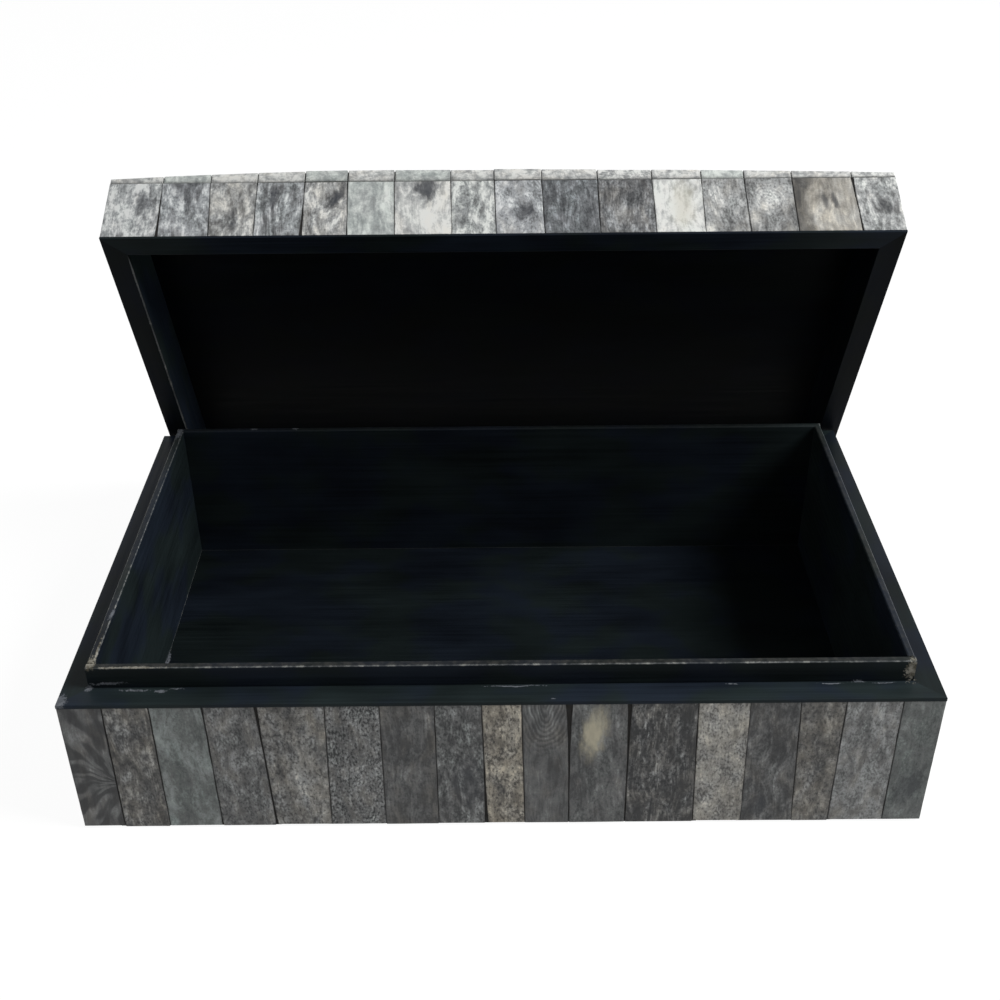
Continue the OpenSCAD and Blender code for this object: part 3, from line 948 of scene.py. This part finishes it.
def ring_cuts(shape, low, high):
    """Cuts parallel to every side near the edges, and even ones along the board."""
    for axis in range(3):
        size = high[axis] - low[axis]
        normal = Vector([1.0 if i == axis else 0.0 for i in range(3)])
        rings = [r for r in BOARD_RINGS if r < 0.45 * size]
        places = [low[axis] + r for r in rings] + [high[axis] - r for r in rings]
        steps = int((size - 2 * BOARD_RINGS[-1]) / BOARD_STEP)
        places += [low[axis] + BOARD_RINGS[-1] + BOARD_STEP * (i + 0.5) for i in range(steps)]
        for place in places:
            cut(shape, normal * place, normal)


# %% Make the black pieces
ARRIS_SOFT = 0.22 * MM
# Each board takes its strokes from another part of the pattern, this many millimetres on
PATTERN_SHIFT = 400.0
BLACK = [name for name in sorted(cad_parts) if name.startswith("lining") or "_rim_" in name
         or name.endswith("panel") or (name.startswith("lid") and name.endswith("board"))]


def write_wear(shape, arrises, long_axis, top_worn, painted_lightness, shift):
    """Writes place, distance to the nearest arris, rub, worn, and light, the factor of painted light
    and shade, on every vertex.
    """
    place = shape.verts.layers.float_vector.new("place")
    names = ("arris", "rub", "worn", "light")
    layers = [shape.verts.layers.float.new(name) for name in names]
    order = [long_axis] + [i for i in range(3) if i != long_axis]
    for vert in shape.verts:
        nearest = min(arrises, key=lambda line: distance_to(line, vert.co))
        vert[place] = Vector([vert.co[i] / MM for i in order]) + Vector((shift, 0, 0))
        worn = top_worn if vert.co.z > lip_high.z - 0.05 * MM else 0.0
        values = (distance_to(nearest, vert.co) / MM, nearest[2], worn, painted_lightness)
        for layer, value in zip(layers, values):
            vert[layer] = value


def lacquer_piece(node):
    lid = node.startswith("lid")
    turn = lean_of(node)
    arrises = LID_ARRISES if lid else BASE_ARRISES
    shape = bmesh.new()
    shape.from_mesh(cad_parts[node].data)
    bmesh.ops.remove_doubles(shape, verts=shape.verts, dist=MERGE)
    bmesh.ops.transform(shape, matrix=turn.transposed().to_4x4(), verts=shape.verts)
    bmesh.ops.dissolve_limit(shape, angle_limit=0.02, verts=shape.verts, edges=shape.edges)
    open_edges = [e for e in shape.edges if is_arris(e, arrises)]
    if open_edges:
        soften(shape, open_edges, ARRIS_SOFT, 2)
    low, high = level_box(node)
    ring_cuts(shape, low, high)
    long_axis = max(range(3), key=lambda i: high[i] - low[i])
    top_worn = LIP_TOP_WORN[node.split("_")[1]] if node.startswith("lining") else 0.0
    # Each piece's black is made lighter or darker as painted light and shade
    painted_lightness = next(value for start, value in PAINTED_LIGHT_AND_SHADE.items() if node.startswith(start))
    write_wear(shape, arrises, long_axis, top_worn, painted_lightness, PATTERN_SHIFT * BLACK.index(node))
    material = lid_lacquer if lid else base_lacquer
    piece = show(shape, node + "_black", material, turn, "lid" if lid else "base")
    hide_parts(node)
    return piece


black_pieces = [lacquer_piece(node) for node in BLACK]
print("black pieces:", len(black_pieces), "faces:", sum(len(p.data.polygons) for p in black_pieces))

# %% [markdown]
# ## Felt under the base
# A thin sheet of black felt with rounded corners is glued to the underside. It is a flat, pressed
# cloth with a short nap and small tufts.

# %% Felt
FELT_CORNER = 3 * MM

felt_material, wires, shader = new_material("black felt")
here = wires.here()
nap = wires.clouds(here, 2500.0, detail=3.0, roughness=0.7)
worn = wires.clouds(here, 30.0, detail=3.0)
tufts = wires.clouds(here, 420.0, detail=4.0, roughness=0.75)
dark = wires.times(tufts, wires.total(worn, 0.5))
wires.join(wires.ramp(dark, (0.36, (0.004, 0.004, 0.005)), (0.68, (0.050, 0.050, 0.052))),
           shader["Base Color"])
shader["Roughness"].default_value = 0.95
shader["Sheen Weight"].default_value = 0.3
wires.emboss(shader, nap, strength=0.7, depth=0.2)

felt_low, felt_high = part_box("felt_pad")
sheet = bmesh.new()
bmesh.ops.create_cube(sheet, size=1.0)
bmesh.ops.scale(sheet, verts=sheet.verts, vec=felt_high - felt_low)
bmesh.ops.translate(sheet, verts=sheet.verts, vec=(felt_low + felt_high) / 2)
upright = [e for e in sheet.edges if abs((e.verts[0].co - e.verts[1].co).normalized().z) > 0.9]
soften(sheet, upright, FELT_CORNER, 4)
felt = show(sheet, "felt_pad_cut", felt_material, LEVEL, "base")
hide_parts("felt_pad")
print("felt:", len(felt.data.polygons), "faces")

# %% [markdown]
# ## Table, light and background
# The photograph has a white ground and soft light from the upper right: the box's left inner wall
# catches it, and the right part of the floor lies in the shade. The table is pale grey, and the
# camera sees it nearly white, with the shadow kept. From below, the table is clear, so that the
# box's underside can be looked at.

# %% Table
TABLE_SIZE = 8.0
TABLE_GREY = 0.56
TABLE_BELOW = 0.05 * MM
SEEN_WHITE = 0.82
WHITE_STRENGTH = 1.16


def seen_by_eye(wires):
    """1 where the camera, a reflection or a clear material looks, and 0 for scattered light."""
    path = wires.node("ShaderNodeLightPath").outputs
    straight = wires.calc("MAXIMUM", path["Is Camera Ray"], path["Is Glossy Ray"])
    return wires.calc("MAXIMUM", straight, path["Is Transmission Ray"])


table_material, wires, shader = new_material("pale table")
shader["Base Color"].default_value = (TABLE_GREY, TABLE_GREY, TABLE_GREY, 1.0)
shader["Roughness"].default_value = 0.9
shader["Specular IOR Level"].default_value = 0.1
white = wires.node("ShaderNodeEmission", {"Strength": WHITE_STRENGTH})
own = wires.tree.nodes["Principled BSDF"].outputs[0]
mix = wires.node("ShaderNodeMixShader", {0: wires.times(seen_by_eye(wires), SEEN_WHITE),
                 1: own, 2: white.outputs[0]})
clear = wires.node("ShaderNodeBsdfTransparent").outputs[0]
below = wires.node("ShaderNodeNewGeometry").outputs["Backfacing"]
mix = wires.node("ShaderNodeMixShader", {0: below, 1: mix.outputs[0], 2: clear})
wires.join(mix.outputs[0], wires.tree.nodes["Material Output"].inputs["Surface"])

sheet = bmesh.new()
bmesh.ops.create_grid(sheet, x_segments=8, y_segments=8, size=TABLE_SIZE / 2)
bmesh.ops.translate(sheet, verts=sheet.verts, vec=(0, 0, -TABLE_BELOW))
table = to_object(sheet, "table", table_material)

# %% World
WORLD_TINT = (0.95, 0.975, 1.0, 1.0)
WORLD_STRENGTH = 0.21

world = bpy.data.worlds.new("world")
bpy.context.scene.world = world
world.use_nodes = True
wires = Wires(world.node_tree)
lit = world.node_tree.nodes["Background"]
lit.inputs["Color"].default_value = WORLD_TINT
lit.inputs["Strength"].default_value = WORLD_STRENGTH
seen = wires.node("ShaderNodeBackground", {"Color": (1.0, 1.0, 1.0), "Strength": 1.0})
mix = wires.node("ShaderNodeMixShader", {0: seen_by_eye(wires), 1: lit.outputs[0],
                 2: seen.outputs[0]})
wires.join(mix.outputs[0], world.node_tree.nodes["World Output"].inputs["Surface"])

# %% Lamp
LAMP_PLACE = Vector((1.06, -0.24, 1.10))
LAMP_AIM = Vector((0.0, 0.0, 0.06))
LAMP_SIZE = 0.6
LAMP_POWER = 25.0

lamp_data = bpy.data.lights.new("upper right", "AREA")
lamp_data.shape = "RECTANGLE"
lamp_data.size = LAMP_SIZE
lamp_data.size_y = LAMP_SIZE
lamp_data.energy = LAMP_POWER
lamp = bpy.data.objects.new("upper right", lamp_data)
add_to_scene(lamp)
lamp.location = LAMP_PLACE
lamp.rotation_euler = (LAMP_AIM - LAMP_PLACE).to_track_quat("-Z", "Y").to_euler()
